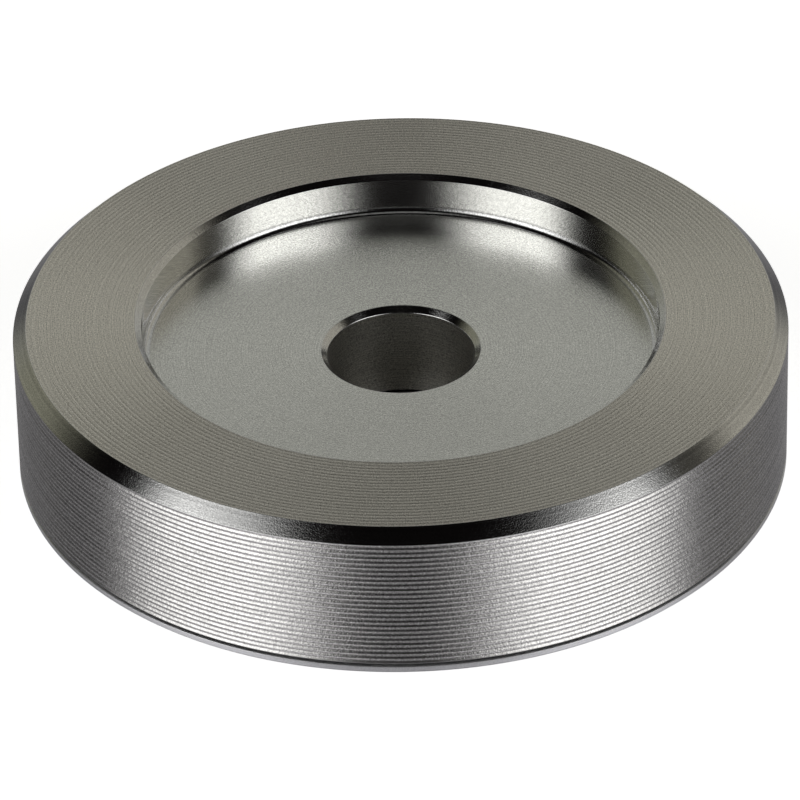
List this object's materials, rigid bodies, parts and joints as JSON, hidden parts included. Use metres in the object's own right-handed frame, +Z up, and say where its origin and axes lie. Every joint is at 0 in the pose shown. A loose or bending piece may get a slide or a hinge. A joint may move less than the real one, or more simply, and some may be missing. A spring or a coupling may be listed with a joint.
{
  "type": "banding wheel",
  "caption": "Low round all-metal banding wheel: a grooved turned head with a recess and a centre bore spins on a sealed ball bearing over a flat footed base plate.",
  "frame": {"origin": "on the spin axis, at the surface that the feet stand on", "axes": "+Z up along the spin axis; a foot lies on each of the X and Y axes"},
  "size_m": [0.12, 0.12, 0.0264],
  "materials": {
    "turned_metal": "fine turned ring grooves on the side and land, satin recess floor, polished chamfers and recess wall",
    "satin_metal": "smooth satin",
    "housing_metal": "as turned",
    "spacer_metal": "as turned",
    "spring_steel": "phosphated",
    "bearing_steel": "ground",
    "ball_steel": "polished",
    "cage_nylon": "moulded",
    "seal_rubber": "matt",
    "foot_rubber": "matt",
    "screw_steel": "satin"
  },
  "bodies": {
    "base": {"base_plate": "satin_metal", "foot_1": "foot_rubber", "foot_2": "foot_rubber", "foot_3": "foot_rubber", "foot_4": "foot_rubber", "base_screw_1": "screw_steel", "base_screw_2": "screw_steel", "base_screw_3": "screw_steel", "base_screw_4": "screw_steel", "bearing_housing": "housing_metal", "outer_ring_spacer": "spacer_metal", "bearing_outer_ring": "bearing_steel", "bearing_lower_seal": "seal_rubber", "bearing_upper_seal": "seal_rubber"},
    "wheel": {"wheel_head": "turned_metal", "bearing_inner_ring": "bearing_steel", "boss_snap_ring": "spring_steel"},
    "ball_cage": {"bearing_cage": "cage_nylon", "bearing_ball_01": "ball_steel", "bearing_ball_02": "ball_steel", "bearing_ball_03": "ball_steel", "bearing_ball_04": "ball_steel", "bearing_ball_05": "ball_steel", "bearing_ball_06": "ball_steel", "bearing_ball_07": "ball_steel", "bearing_ball_08": "ball_steel", "bearing_ball_09": "ball_steel", "bearing_ball_10": "ball_steel", "bearing_ball_11": "ball_steel", "bearing_ball_12": "ball_steel", "bearing_ball_13": "ball_steel", "bearing_ball_14": "ball_steel", "bearing_ball_15": "ball_steel", "bearing_ball_16": "ball_steel", "bearing_ball_17": "ball_steel", "bearing_ball_18": "ball_steel", "bearing_ball_19": "ball_steel", "bearing_ball_20": "ball_steel"}
  },
  "joints": [
    {"name": "wheel_spin", "type": "hinge", "parent": "base", "child": "wheel", "pos_m": [0, 0, 0.01125], "axis": [0, 0, 1], "continuous": true},
    {"name": "cage_spin", "type": "hinge", "parent": "base", "child": "ball_cage", "pos_m": [0, 0, 0.01125], "axis": [0, 0, 1], "continuous": true}
  ],
  "couplings": [
    {"joint": "cage_spin", "follows": "wheel_spin", "ratio": 0.46987}
  ]
}
